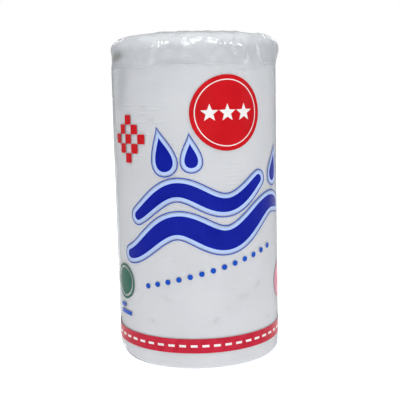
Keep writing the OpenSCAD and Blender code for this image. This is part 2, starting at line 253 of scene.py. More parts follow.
# One pleat across its width, its mean height, and the mean and spread of the pleats' sizes
PLEAT_F = [0, 0.1, 0.25, 0.5, 0.66, 0.76, 0.85, 0.93, 1.0]
PLEAT_V = [0, 0.2, 0.45, 0.85, 1.0, 0.98, 0.7, 0.2, 0.0]
PLEAT_MIDDLE = 0.7
PLEAT_SIZE, PLEAT_SPREAD = 0.66, 0.34
# Share of the pleats' height that is reached up the skirt, and added round the shoulder
SKIRT_PLEAT, SHOULDER_PLEAT = 0.28, 0.17


def pleat_relief(azimuth):
    """The gathered pleats, uneven in width and height, as a share of their height."""
    a = np.radians(azimuth)
    x = azimuth * PLEATS / 360.0 + 0.30 * np.sin(3 * a + 1.0) + 0.22 * np.sin(7 * a + 2.0)
    x = x + 0.12 * np.sin(13 * a)
    f = x - np.floor(x)
    i = np.floor(x) % PLEATS
    size = PLEAT_SIZE + PLEAT_SPREAD * np.sin(np.radians(137 * i)) * np.cos(np.radians(61 * i))
    wave = np.interp(f, PLEAT_F, PLEAT_V)
    minor = 0.06 * np.sin(TAU * 2.5 * x + 1.3 * np.sin(5 * a))
    return size * wave - PLEAT_MIDDLE * PLEAT_SIZE + minor


def ear_share(azimuth):
    return smooth(1 - np.abs(around(azimuth, EAR_AZIMUTH)) / EAR_HALF)


def film_rings():
    """Rings of the film from the middle of the base to the middle of the top: radius,
    height, direction the film faces, shares of wall relief, pleats, ear and crumple,
    thickness, and how loose the film is. The wall's looseness is set in film_points."""
    rings = []

    def add(r, z, face, wall=0.0, pleat=0.0, ear=0.0, crumple=0.0, t=FILM_T, loose=0.0):
        rings.append((r, z, face, wall, pleat, ear, crumple, t, loose))

    reach = FILM_R - BASE_EDGE_R
    for r in (2.5, 5.5, 7.9, 8.3, 9.0, 9.7, 11, 15, 21, 28, 35, 42, 48, 53, 57, 60):
        add(r, 0.0, -90.0, t=BASE_T)
    for i in range(7):
        a = -90 + 90 * i / 6
        t = BASE_T + (FILM_T - BASE_T) * smooth(i / 5)
        add(reach + BASE_EDGE_R * math.cos(math.radians(a)),
            BASE_EDGE_R + BASE_EDGE_R * math.sin(math.radians(a)), a,
            wall=float(smooth(i / 6)), t=float(t))
    for z in np.linspace(BASE_EDGE_R, WALL_TOP, 46)[1:]:
        add(FILM_R, float(z), 0.0, wall=1.0)
    steps = 12
    for i in range(1, steps + 1):
        t = i / steps
        rise = float(smooth(t))
        add(FILM_R, WALL_TOP + t * (EDGE_LOW - WALL_TOP), 0.0, wall=1.0,
            pleat=SKIRT_PLEAT * rise, ear=t * rise, crumple=0.8 * rise)
    steps = 13
    for i in range(1, steps + 1):
        a = 90.0 * i / steps
        s = math.sin(math.radians(a))
        add(CROWN_R + HEAD_EDGE_R * math.cos(math.radians(a)), EDGE_LOW + HEAD_EDGE_R * s, a,
            wall=1 - float(smooth(i / steps)), pleat=SKIRT_PLEAT + SHOULDER_PLEAT * i / steps,
            ear=float(smooth(1.15 - a / 60)), crumple=0.8 + 0.2 * s, loose=1.0)
    steps = 24
    for i in range(1, steps + 1):
        t = i / steps
        z = HEAD_TOP + HEAD_CROWN * math.sin(math.pi * t)
        z -= PINCH_DROP * float(smooth((t - 0.72) / 0.28))
        loose = 1 - 0.55 * float(smooth(t * 4)) + 0.35 * float(smooth(t * 2.5 - 1.5))
        add(CROWN_R + t * (PINCH_R - CROWN_R), z, 90.0, crumple=1 - 0.6 * t, loose=loose,
            pleat=0.45 + 0.15 * float(smooth(t * 5)) - 0.35 * t)
    for r, z in ((6.2, 0.0), (4.4, 0.15), (2.6, 0.1), (1.2, 0.25)):
        add(r, HEAD_TOP - PINCH_DROP - z, 90.0, pleat=0.25 * r / PINCH_R,
            crumple=0.25 * r / PINCH_R, loose=1.0)
    return np.array(rings)


def base_relief(azimuth, r):
    """Folds pressed flat under the roll, each lying over the next, and their seal."""
    x = (azimuth + 9.0 * (1 - r / FILM_R)) * BASE_FOLDS / 360.0
    x = x + 0.18 * np.sin(np.radians(azimuth) * 3 + 0.7)
    f = x - np.floor(x)
    lap = np.interp(f, [0, 0.06, 0.5, 0.94, 1.0], [0.0, 0.42, 0.16, 0.04, 0.0])
    share = smooth((r - BASE_SEAL_R) / 3) * smooth((FILM_R - BASE_EDGE_R - r) / 8)
    rim = np.exp(-((r - BASE_SEAL_R) / 0.5) ** 2) * 0.4
    seal = 0.16 * (1 - smooth((r - 7.0) / 2)) * (1 + np.sin(np.radians(azimuth) * 11 + r))
    return lap * share + rim + seal


# Where the shoulder swells: azimuth, reach in degrees, height in millimetres, and the
# direction that the film faces where the swelling ends, with its fade
SWELLS = [(68.0, 38, 0.9, 88, 12), (-84.0, 28, 0.8, 60, 40)]


def film_points(columns):
    """The film's outer points ring by ring, its thickness, its looseness and its crests."""
    rings = film_rings()
    r, z, face, wall, pleat, ear, crumple, thick, loose = (rings[:, i:i + 1] for i in range(9))
    azimuth = np.arange(columns)[None, :] * 360.0 / columns + 0 * r
    swirl = PLEAT_SWIRL * (1 - r / FILM_R) * (z > 100)
    a = np.radians(azimuth)
    along = np.cumsum(np.hypot(np.diff(rings[:, 0], prepend=0), np.diff(rings[:, 1], prepend=0)))
    along = along[:, None] + 0 * a
    pleats = pleat_relief(azimuth)
    out = wall * wall_relief(azimuth, z + 0 * a)
    out = out + pleat * PLEAT_H * pleats
    out = out + ear * EAR_OUT * ear_share(azimuth)
    shoulder = (z > EDGE_LOW) * smooth((z - EDGE_LOW) / 6.0)
    for centre, reach, height, up_to, fade in SWELLS:
        swell = shoulder * height * smooth(1 - np.abs(around(azimuth, centre)) / reach)
        out = out + swell * smooth((up_to - face) / fade)
    fine, broad = relief(CRUMPLE, a, along), relief(CRUMPLE_BROAD, a, along)
    out = out + crumple * (0.03 * fine + (0.14 + 0.16 * shoulder) * broad)
    c, s = np.cos(np.radians(face)), np.sin(np.radians(face))
    base = (face == -90.0) * base_relief(azimuth, r + 0 * a)
    low = (z < 40) * (r > 30)
    off_corner = np.where(face == -90.0, FILM_R - BASE_EDGE_R - r, np.maximum(z - BASE_EDGE_R, 0))
    cut = low * foot_cut(azimuth) * np.exp(-(off_corner / FOOT_CUT_REACH) ** 2)
    out = out - cut * (face != -90.0)
    base = base + cut * (face == -90.0)
    radius = r + out * c
    height = np.clip(z + out * s + base, 0.0, None)
    turn = np.radians(azimuth + swirl - 90.0)
    points = np.stack([radius * np.cos(turn), radius * np.sin(turn), height], axis=2)
    crest = pleat * pleats + crumple * 0.5 * broad
    # The film comes off the paper's edge a little higher in one place than in another
    slack = smooth((z - PAPER_TOP + 7 + 2.0 * relief(WALL_SOFT, a, 0.0)) / 10)
    on_wall = 0.1 * smooth((z - 190) / 30) + 0.9 * slack
    return points, thick + 0 * a, np.where(face == 0.0, on_wall, loose), crest


def grid_normals(points):
    """Outward normals of rings of points that close on themselves."""
    across = np.roll(points, -1, axis=1) - np.roll(points, 1, axis=1)
    along = np.gradient(points, axis=0)
    n = np.cross(across, along)
    return n / np.maximum(np.linalg.norm(n, axis=2, keepdims=True), 1e-9)


FILM_COLUMNS = 392
# Painted shade on the fold at the closure's left, and the painted soft shadow that runs down beside
# it
FOLD_SHADE_AZIMUTH, FOLD_SHADE_Z = -66.0, 236.5
SHADOW_AZIMUTH = -55.0
# Where the gathered film looks darkest and lightest
DARK_AZIMUTH, LIGHT_AZIMUTH = 29.0, -25.0


def film_shade(azimuth, z):
    """How dark the film looks, from 0 to 1: painted shade on the fold at the closure's left, a
    painted shadow beside it and a darker band round the gathered closure.
    """
    off = around(azimuth, FOLD_SHADE_AZIMUTH)
    # Painted shade: the fold at the closure's left is darkened as if it lay in shadow
    fold_shade = 0.95 * np.exp(-(off / 16.0) ** 2 - ((z - FOLD_SHADE_Z - 0.1 * off) / 5.5) ** 2)
    fold_shade = fold_shade * (1.0 - 0.3 * relief(DIMPLES, np.radians(azimuth), z))
    fold_shade = np.clip(fold_shade * smooth((z - 229.5) / 3), 0, 1)
    dark = np.exp(-(around(azimuth, DARK_AZIMUTH) / 15.0) ** 2)
    light = np.exp(-(around(azimuth, LIGHT_AZIMUTH) / 17.0) ** 2)
    gathered = (0.3 + 0.12 * (dark - light)) * smooth((z - 226) / 8) * smooth((249 - z) / 9)
    # Painted shadow that runs down beside the fold, leaning further round as it goes down
    shadow = np.exp(-((around(azimuth, SHADOW_AZIMUTH) + 0.22 * (229 - z)) / 8.0) ** 2)
    shadow = 0.4 * shadow * smooth((z - 186) / 20) * smooth((233 - z) / 6)
    return np.maximum(np.maximum(fold_shade, gathered), shadow)


def build_film():
    """The film as one closed skin, its outer and inner faces each shut by a point at
    either end."""
    points, thick, loose, crest = film_points(FILM_COLUMNS)
    rows, columns = points.shape[:2]
    inner = points - grid_normals(points) * thick[:, :, None]
    flat = thick[:, 0] == BASE_T
    inner[flat, :, :2] = points[flat, :, :2]
    inner[flat, :, 2] = BASE_T
    count = rows * columns
    verts = np.concatenate([
        points.reshape(-1, 3), inner.reshape(-1, 3),
        [[0, 0, 0.1], [0, 0, points[-1, :, 2].mean()], [0, 0, BASE_T],
         [0, 0, inner[-1, :, 2].mean()]],
    ])
    faces = ring_faces(rows, columns)
    faces += [[i + count for i in f] for f in ring_faces(rows, columns, flip=True)]
    bottom, top, bottom_in, top_in = (2 * count + i for i in range(4))
    last = (rows - 1) * columns
    for c in range(columns):
        n = (c + 1) % columns
        faces.append([bottom, n, c])
        faces.append([top, last + c, last + n])
        faces.append([bottom_in, count + c, count + n])
        faces.append([top_in, count + last + n, count + last + c])
    obj = mesh_object("film_skin", verts, faces)
    azimuth = np.degrees(np.arctan2(points[:, :, 1], points[:, :, 0])) + 90.0
    # The shade attribute holds painted shade, worked out by film_shade
    shade = film_shade(azimuth, points[:, :, 2])
    for name, values, at_top in (("loose", loose, 1), ("shade", shade, 0), ("crest", crest, 0)):
        ends = [0, at_top, 0, at_top]
        float_attribute(obj, name, np.concatenate([values.ravel(), values.ravel(), ends]))
    return obj


# ---------------------------------------------------------------------------
# Print: flat outlines on the unrolled film, laid on the film's own surface
# ---------------------------------------------------------------------------
INK_T = 0.03
INK_CLEAR = 0.02
INK_STEP = 0.04
GRID_STEP = 1.7
GRID_CLEAR = 0.6
THIN_BELOW = 5.0
LEVELS = {"light_blue": 0, "pink": 0, "blue": 1, "red": 1, "green": 1, "white": 2}


def on_film(s, z, lift):
    """Points of the film's wall at arc length s from the front and height z."""
    azimuth = np.degrees(s / FILM_R)
    r = FILM_R + wall_relief(azimuth, z) + lift
    a = np.radians(azimuth - 90.0)
    return np.stack([r * np.cos(a), r * np.sin(a), z], axis=-1)


def resampled(loop, step=0.9):
    """The same closed outline with no edge longer than step."""
    loop = np.asarray(loop, float)
    result = []
    for p, q in zip(loop, np.roll(loop, -1, axis=0)):
        n = max(1, int(math.ceil(np.linalg.norm(q - p) / step)))
        result.extend(p + (q - p) * i / n for i in range(n))
    return np.array(result)


def inside(loop, x, y):
    """Which points lie inside a closed outline."""
    hit = np.zeros(x.shape, bool)
    for (x0, y0), (x1, y1) in zip(loop, np.roll(loop, -1, axis=0)):
        cross = (y0 > y) != (y1 > y)
        with np.errstate(divide="ignore", invalid="ignore"):
            hit ^= cross & (x < (x1 - x0) * (y - y0) / (y1 - y0) + x0)
    return hit


def distance_to(loop, x, y):
    """How far each point lies from a closed outline."""
    best = np.full(x.shape, 1e9)
    for p, q in zip(loop, np.roll(loop, -1, axis=0)):
        d = q - p
        t = np.clip(((x - p[0]) * d[0] + (y - p[1]) * d[1]) / max(d @ d, 1e-12), 0, 1)
        best = np.minimum(best, np.hypot(x - p[0] - t * d[0], y - p[1] - t * d[1]))
    return best


def ink_patch(loops):
    """Triangles of a flat shape, its outline first and its holes after it."""
    loops = [resampled(loop) for loop in loops]
    outer = loops[0]
    low, high = outer.min(0), outer.max(0)
    gx, gy = np.meshgrid(*(np.arange(low[i], high[i], GRID_STEP) for i in range(2)))
    gx[1::2] += GRID_STEP / 2
    gx, gy = gx.ravel(), gy.ravel()
    keep = inside(outer, gx, gy)
    for hole in loops[1:]:
        keep &= ~inside(hole, gx, gy)
    gx, gy = gx[keep], gy[keep]
    clear = np.full(gx.shape, True)
    for loop in loops:
        clear &= distance_to(loop, gx, gy) > GRID_CLEAR
    verts = [Vector(p) for loop in loops for p in loop]
    edges, start = [], 0
    for loop in loops:
        n = len(loop)
        edges += [(start + i, start + (i + 1) % n) for i in range(n)]
        start += n
    verts += [Vector((x, y)) for x, y in zip(gx[clear], gy[clear])]
    out, _, tris, *_ = delaunay_2d_cdt(verts, edges, [], 1, 1e-6)
    flat, tris = np.array([tuple(v) for v in out]), np.array([list(t) for t in tris])
    middle = flat[tris].mean(axis=1)
    keep = inside(outer, middle[:, 0], middle[:, 1])
    for hole in loops[1:]:
        keep &= ~inside(hole, middle[:, 0], middle[:, 1])
    return flat, tris[keep].tolist()


def ink_object(name, colour, shapes):
    """One thin closed layer of ink for each shape, all in one object."""
    lift = INK_CLEAR + LEVELS[colour] * INK_STEP
    points, faces, fine, count = [], [], [], 0
    for loops in shapes:
        flat, tris = ink_patch(loops)
        n = len(flat)
        top = on_film(flat[:, 0], flat[:, 1], lift + INK_T)
        low = on_film(flat[:, 0], flat[:, 1], lift)
        points += [top, low]
        seen = dict.fromkeys((t[i], t[(i + 1) % 3]) for t in tris for i in range(3))
        faces += [[i + count for i in t] for t in tris]
        faces += [[i + count + n for i in reversed(t)] for t in tris]
        for a, b in seen:
            if (b, a) not in seen:
                faces.append([count + a, count + a + n, count + b + n, count + b])
        thin = len(loops) > 1 or np.ptp(flat, axis=0).min() < THIN_BELOW
        fine += [float(thin)] * (2 * n)
        count += 2 * n
    obj = mesh_object(name, np.concatenate(points), faces, smooth_shade=False)
    float_attribute(obj, "fine", fine)
    return obj


def below_top(depth):
    return PAPER_TOP - depth


def stamp(points, azimuth, z):
    """A flat shape seen from outside at an azimuth, laid on the round film."""
    points = np.asarray(points, float)
    s = FILM_R * (math.radians(azimuth) + np.arcsin(points[:, 0] / FILM_R))
    return np.stack([s, z + points[:, 1]], axis=1)


def circle(r, n=96):
    a = np.arange(n) * TAU / n
    return np.stack([r * np.cos(a), r * np.sin(a)], axis=1)


def star(r):
    a = np.radians(90 + np.arange(10) * 36)
    rr = np.where(np.arange(10) % 2 == 0, r, 0.42 * r)
    return np.stack([rr * np.cos(a), rr * np.sin(a)], axis=1)


def bar(from_azimuth, to_azimuth, z, height):
    s0, s1 = FILM_R * math.radians(from_azimuth), FILM_R * math.radians(to_azimuth)
    return [(s0, z), (s1, z), (s1, z + height), (s0, z + height)]


WAVE_RISE, WAVE_PITCH, WAVE_TROUGH = 9.0, 84.0, -52.0
WAVE_END_HALF = 3.5
# From and to azimuth, depth of the start below the paper's top, climb and half width
WAVES = [(-52, 72, 135, 21, 7.5), (-43, 46, 107, 15, 5.4)]


def wave_middle(w, t):
    azimuth = w[0] + t * (w[1] - w[0])
    along = np.radians(azimuth - WAVE_TROUGH) * FILM_R
    z = below_top(w[2]) + w[3] * t - WAVE_RISE * np.cos(TAU * along / WAVE_PITCH)
    return np.stack([np.radians(azimuth) * FILM_R, z], axis=-1)


def wave_outline(w, grow, steps=60):
    t = np.arange(steps + 1) / steps
    d = wave_middle(w, t + 0.005) - wave_middle(w, t - 0.005)
    d /= np.linalg.norm(d, axis=1, keepdims=True)
    normal = np.stack([-d[:, 1], d[:, 0]], axis=1)
    end_half = min(WAVE_END_HALF, w[4])
    half = end_half + (w[4] - end_half) * np.sin(np.pi * t) ** 0.7 + grow
    middle = wave_middle(w, t)

    def cap(i, turn):
        start = math.atan2(normal[i, 1], normal[i, 0]) + math.radians(turn)
        a = start + np.radians(np.arange(1, 12) * 15)
        return middle[i] + half[i] * np.stack([np.cos(a), np.sin(a)], axis=1)

    return np.concatenate([
        middle - half[:, None] * normal, cap(-1, 180),
        (middle + half[:, None] * normal)[::-1], cap(0, 0)])


# Azimuth, depth of the middle below the paper's top, width, length and tilt
DROPS = [(-22, 67, 15, 26, 12), (-3, 68, 11, 18, 4), (66, 81, 12, 21, -14)]


def drop_outline(width, length, grow, steps=72):
    a = np.arange(steps) * TAU / steps
    return np.stack([-(width / 2 + grow) * 1.3 * np.sin(a) * np.abs(np.sin(a / 2)) ** 1.5,
                     (length / 2 + grow) * np.cos(a) + grow / 2 * (1 + np.cos(a))], axis=1)


def drop(d, grow):
    azimuth, below, width, length, tilt = d
    p = drop_outline(width, length, grow)
    c, s = math.cos(math.radians(tilt)), math.sin(math.radians(tilt))
    x, y = p[:, 0] * c - p[:, 1] * s, p[:, 0] * s + p[:, 1] * c
    return np.stack([math.radians(azimuth) * FILM_R + x, below_top(below) + y], axis=1)


BORDER_W, LINE_GAP, LINE_W = 2.4, 0.8, 0.8
BADGE_AZ, BADGE_Z, BADGE_R = 21.7, below_top(37.5), 27.7
RING_INSETS = (3.2, 3.9)
STAR_R, STAR_PITCH = 6.8, 13.6
BAND_Z, BAND_H = 14.2, 11.1
BAND_DASHES, DASH_W, DASH_H = 44, 5.2, 1.8
SEAM_MARGIN = 6.0
SEAM_CLEAR = math.degrees((SEAM_W / 2 + SEAM_MARGIN) / FILM_R)
BAND_FROM, BAND_TO = -180 + SEAM_CLEAR, 180 - SEAM_CLEAR
CHECK_AZ, CHECK_Z, CHECK_SIDE = -51, below_top(56), 7.2
CHECK_ROWS = (1, 2, 3, 2, 1)
DOT_AZ, DOT_Z, DOT_R, DOT_MIDDLE_R = 81, 58, 15, 7.5
SEAL_AZ, SEAL_Z, SEAL_RADII = -62, 63.5, (14, 12.25, 10.5)
# The row of small dots: how many, radius, azimuth and height of the first, turn and climb
ROW_DOTS, ROW_DOT_R = 13, 2.1
ROW_AZ, ROW_Z, ROW_TURN, ROW_CLIMB = -36, below_top(167), 92, 26
# Two short bars: from and to azimuth, height of the lower edge and width
BARS = [(-70, -54, 37, 3.2), (-70, -62, 42.4, 3.2)]
# Drops behind: azimuths of the columns, rows, lowest and highest middle, width and length
BACK_COLUMNS, BACK_ROWS = (118, 138, 222, 242), 5
BACK_LOW, BACK_HIGH = 60, below_top(43)
BACK_W, BACK_LEN = 7, 13


def red_shapes():
    shapes = [[bar(BAND_FROM, BAND_TO, BAND_Z, BAND_H)],
              [stamp(circle(BADGE_R, 160), BADGE_AZ, BADGE_Z)]]
    h = CHECK_SIDE / 2
    for row, n in enumerate(CHECK_ROWS):
        for i in range(n):
            s = FILM_R * math.radians(CHECK_AZ) + (2 * i - n + 1) * CHECK_SIDE
            z = CHECK_Z + (row - 2) * CHECK_SIDE
            shapes.append([[(s - h, z - h), (s + h, z - h), (s + h, z + h), (s - h, z + h)]])
    shapes.append([stamp(circle(DOT_MIDDLE_R, 64), DOT_AZ, DOT_Z)])
    return shapes


def ringed(outline):
    """The thin line round a blue shape, outside its light blue border."""
    return [outline(BORDER_W + LINE_GAP + LINE_W), outline(BORDER_W + LINE_GAP)]


def blue_shapes():
    shapes = []
    for w in WAVES:
        shapes += [[wave_outline(w, 0)], ringed(lambda g: wave_outline(w, g))]
    for d in DROPS:
        shapes += [[drop(d, 0)], ringed(lambda g: drop(d, g))]
    for i in range(ROW_DOTS):
        t = i / (ROW_DOTS - 1)
        shapes.append([stamp(circle(ROW_DOT_R, 32), ROW_AZ + ROW_TURN * t, ROW_Z + ROW_CLIMB * t)])
    return shapes + [[bar(*b)] for b in BARS]


def light_blue_shapes():
    shapes = [[wave_outline(w, BORDER_W)] for w in WAVES]
    shapes += [[drop(d, BORDER_W)] for d in DROPS]
    p = drop_outline(BACK_W, BACK_LEN, 0)
    for row in range(BACK_ROWS):
        z = BACK_LOW + row * (BACK_HIGH - BACK_LOW) / (BACK_ROWS - 1)
        shapes += [[p + [FILM_R * math.radians(azimuth), z]] for azimuth in BACK_COLUMNS]
    return shapes


def white_shapes():
    shapes = [[stamp(circle(BADGE_R - inset, 160), BADGE_AZ, BADGE_Z) for inset in RING_INSETS]]
    for i in (-1, 0, 1):
        shapes.append([stamp(star(STAR_R) + [i * STAR_PITCH, 0], BADGE_AZ, BADGE_Z)])
    step = (BAND_TO - BAND_FROM) / BAND_DASHES
    half = math.degrees(DASH_W / 2 / FILM_R)
    for i in range(BAND_DASHES):
        middle = BAND_FROM + (i + 0.5) * step
        z = BAND_Z + (BAND_H - DASH_H) / 2
        shapes.append([bar(middle - half, middle + half, z, DASH_H)])
    return shapes


def green_shapes():
    outer, hole, disc = (stamp(circle(r, 96), SEAL_AZ, SEAL_Z) for r in SEAL_RADII)
    return [[outer, hole], [disc]]


def pink_shapes():
    return [[stamp(circle(DOT_R, 96), DOT_AZ, DOT_Z)]]


# ---------------------------------------------------------------------------
# Paper
# ---------------------------------------------------------------------------
PAPER_COLUMNS = 270
PAPER_ROWS = 290
END_RINGS = 28
CORNER_STEPS = 6
# Embossing: one dash in each cell of columns, on one row of each line of rows, with
# the dashes of each line slipped round by so many columns and a share of them missing.
# The scatter's numbers only mix up cell and line.
CELL_COLUMNS, DASH_COLUMNS, LINE_ROWS = 11, 6, 4
LINE_SLIP = np.array([0, 5, 9, 3, 7, 2, 6, 1])
MISSING_SHARE = 0.42
SCATTER = (12.9, 78.2, 43758.5)
EMBOSS_DEPTH = 0.16
# The perforation: half width in columns, depth, and one uncut row in so many
CUT_COLUMNS, CUT_DEPTH, CUT_ROWS = 0.6, 0.3, 3
# Where the film lies tightest on the paper
TIGHT_AZIMUTH, TIGHT_Z = -46.0, 187.0


def paper_rings():
    """Rings of the paper from its bore over the base, up the outside and back over the
    top: radius, height, share of embossing, which end it is on and row of the wall."""

    def rim(c, z, edge_r, up):
        s = math.sin(c)
        return PAPER_R - edge_r + edge_r * s, z + up * edge_r * (1 - math.cos(c)), s, 0.0, 1

    radii = np.linspace(BORE_R, PAPER_R - PAPER_EDGE_R, END_RINGS)
    corner = [math.radians(i * 90.0 / CORNER_STEPS) for i in range(CORNER_STEPS)]
    wall = np.linspace(PAPER_Z + PAPER_EDGE_R, PAPER_TOP - PAPER_TOP_EDGE_R, PAPER_ROWS)
    rings = [(r, PAPER_Z, 0.0, -1.0, 0) for r in radii[:-1]]
    rings += [rim(c, PAPER_Z, PAPER_EDGE_R, 1) for c in corner]
    rings += [(PAPER_R, z, 1.0, 0.0, row) for row, z in enumerate(wall)]
    rings += [rim(c, PAPER_TOP, PAPER_TOP_EDGE_R, -1) for c in corner[::-1]]
    rings += [(r, PAPER_TOP, 0.0, 1.0, 0) for r in radii[::-1][1:]]
    return np.array(rings)


def build_paper():
    """The wound sheet: embossed outside, with the loose end, a perforation line and
    turns that stand unevenly at both ends."""
    columns = PAPER_COLUMNS
    col = np.arange(columns)[None, :]
    azimuth = col * 360.0 / columns
    a = np.radians(azimuth)
    rings = paper_rings()
    r, z, embossed, end, row = (rings[:, i:i + 1] for i in range(5))
    row = row.astype(int)
    line = row // LINE_ROWS
    place = col + LINE_SLIP[line % len(LINE_SLIP)]
    chance = np.sin(place // CELL_COLUMNS * SCATTER[0] + line * SCATTER[1]) * SCATTER[2] % 1
    dash = (place % CELL_COLUMNS < DASH_COLUMNS) & (row % LINE_ROWS == 0)
    # The pattern shows best where the film lies tight on the paper
    tight = -(around(azimuth, TIGHT_AZIMUTH) / 26.0) ** 2 - ((z - TIGHT_Z) / 36.0) ** 2
    patches = 0.5 * smooth(0.1 + 0.6 * relief(DIMPLES[5:], a, z))
    clear = 0.07 + 0.93 * np.maximum(patches, np.exp(tight))
    raised = embossed * (dash & (chance > MISSING_SHARE)) * clear
    dent = EMBOSS_DEPTH * embossed * (1 - raised)
    # Painted highlight along the dashes' tops and painted shade in the row just below them
    painted_light_and_shade = 1.75 * raised - 1.5 * np.roll(raised, -1, axis=0) * (1 - raised)
    for az, high, half_w, half_h, depth, lean in DIMPLE_SPOTS:
        across = np.radians(around(azimuth, az)) * PAPER_R
        hollow = embossed * dimple(across, z - high, half_w, half_h, lean)
        dent = dent + 1.6 * depth * hollow
        # Painted shade in each dimple's hollow
        painted_light_and_shade = painted_light_and_shade - 4.0 * depth * hollow
    dent = dent + 0.12 * embossed * smooth(relief(DIMPLES, a, z) - 0.7)
    dent = dent + 0.05 * embossed * (1 + relief(DIMPLES[::-1], a * 2, z)) / 2
    perforation = np.abs(around(azimuth, PERFORATION_AZIMUTH)) < CUT_COLUMNS * 360.0 / columns
    dent = dent + CUT_DEPTH * embossed * perforation * (row % CUT_ROWS > 0)
    # The outer turn ends in a step that the turns inside it run out from
    wound = ((TAIL_AZIMUTH - azimuth) % 360.0) / 360.0
    step_in = SHEET_T * np.clip((wound - 0.82) / 0.18, 0, 1)
    share = np.clip((r - BORE_R) / (PAPER_R - BORE_R), 0, 1)
    up, back = z - PAPER_Z - PAPER_EDGE_R, PAPER_R - PAPER_EDGE_R - r
    foot = (z < 20) * (r > 45) * np.exp(-(np.maximum(up, 0) / FOOT_CUT_REACH) ** 2)
    foot = foot * np.exp(-(np.maximum(back, 0) / FOOT_CUT_REACH) ** 2)
    cut = foot * (foot_cut(azimuth) + 0.1)
    flat = np.clip((PAPER_R - r) / PAPER_EDGE_R, 0, 1)
    radius = r - step_in * share - dent - cut * np.sqrt(1 - flat ** 2)
    lift = 0.25 * end * (relief(END_SOFT, a, r) - 1.6) * smooth((r - BORE_R) / 4)
    lift = lift * smooth((PAPER_R - PAPER_EDGE_R - r) / 4)
    ragged = smooth((z - PAPER_TOP) / PAPER_TOP_EDGE_R + 1) * smooth((r - 50) / 8)
    ragged = ragged * (0.45 + 0.35 * relief(END_SOFT, a, 0))
    height = z + lift + cut * flat - np.clip(ragged, 0, 1.0)
    turn = a - math.pi / 2
    points = np.stack([radius * np.cos(turn), radius * np.sin(turn), height], axis=2)
    rows = len(points)
    faces = ring_faces(rows, columns)
    last = (rows - 1) * columns
    for c in range(columns):
        n = (c + 1) % columns
        faces.append([last + c, last + n, n, c])
    obj = mesh_object("paper_wound", points.reshape(-1, 3), faces)
    # The attribute carries the painted light and shade of the embossing and the dimples
    float_attribute(obj, "painted_light_and_shade", painted_light_and_shade.ravel())
    return obj


# ---------------------------------------------------------------------------
# Materials
# ---------------------------------------------------------------------------
class Nodes:
    """Short way to place and join the nodes of a material or a world."""

    def __init__(self, owner, output="OutputMaterial"):
        owner.use_nodes = True
        self.owner = owner
        self.tree = owner.node_tree
        self.tree.nodes.clear()
        self.out = self.add(output)

    def add(self, kind, **settings):
        node = self.tree.nodes.new("ShaderNode" + kind)
        for key, value in settings.items():
            setattr(node, key, value)
        return node

    def link(self, a, b):
        self.tree.links.new(a, b)

    def math(self, operation, a, b=0.5, clamp=False):
        node = self.add("Math", operation=operation, use_clamp=clamp)
        for socket, value in zip(node.inputs, (a, b)):
            if isinstance(value, (int, float)):
                socket.default_value = value
            else:
                self.link(value, socket)
        return node.outputs[0]

    def coordinates(self, stretch=(1, 1, 1)):
        place = self.add("TexCoord")
        mapping = self.add("Mapping")
        mapping.inputs["Scale"].default_value = stretch
        self.link(place.outputs["Object"], mapping.inputs["Vector"])
        return mapping.outputs["Vector"]

    def noise(self, scale, detail=3.0, stretch=(1, 1, 1), rough=0.5, distortion=0.0):
        node = self.add("TexNoise")
        node.inputs["Scale"].default_value = scale
        node.inputs["Detail"].default_value = detail
        node.inputs["Roughness"].default_value = rough
        node.inputs["Distortion"].default_value = distortion
        self.link(self.coordinates(stretch), node.inputs["Vector"])
        return node.outputs["Fac"]

    def attribute(self, name):
        node = self.add("Attribute", attribute_name=name)
        return node.outputs["Fac"]

    def remap(self, value, low, high, to_low, to_high, **settings):
        node = self.add("MapRange", **settings)
        limits = {"From Min": low, "From Max": high, "To Min": to_low, "To Max": to_high}
        for name, limit in limits.items():
            node.inputs[name].default_value = limit
        self.link(value, node.inputs["Value"])
        return node.outputs["Result"]

    def ramp(self, value, stops):
        node = self.add("ValToRGB")
        ramp = node.color_ramp
        while len(ramp.elements) < len(stops):
            ramp.elements.new(0.5)
        for element, (at, colour) in zip(ramp.elements, stops):
            element.position = at
            element.color = (*colour, 1.0)
        self.link(value, node.inputs["Fac"])
        return node.outputs["Color"]

    def bump(self, height, distance, strength=1.0, normal=None):
        node = self.add("Bump")
        node.inputs["Strength"].default_value = strength
        node.inputs["Distance"].default_value = distance
        self.link(height, node.inputs["Height"])
        if normal is not None:
            self.link(normal, node.inputs["Normal"])
        return node.outputs["Normal"]

    def mix_colour(self, share, a, b, **settings):
        node = self.add("Mix", data_type="RGBA", **settings)
        for name, value in (("Factor", share), ("A", a), ("B", b)):
            if isinstance(value, (float, tuple)):
                node.inputs[name].default_value = value
            else:
                self.link(value, node.inputs[name])
        return node.outputs["Result"]

    def mix_shader(self, share, a, b):
        node = self.add("MixShader")
        for socket, value in zip(node.inputs, (share, a, b)):
            self.link(value, socket)
        return node.outputs[0]

    def surface(self, shader):
        self.link(shader, self.out.inputs["Surface"])
        return self.owner


def material_nodes(name):
    return Nodes(bpy.data.materials.new(name))


def film_bump(n):
    """Fine creases of the film: broad soft ones and small sharp ones."""
    soft = n.noise(26, 2.0, stretch=(1, 1, 0.45), rough=0.45)
    sharp = n.noise(95, 3.0, stretch=(1, 1, 0.35), rough=0.6, distortion=0.6)
    normal = n.bump(soft, 0.0005)
    return n.bump(sharp, 0.00004, normal=normal)


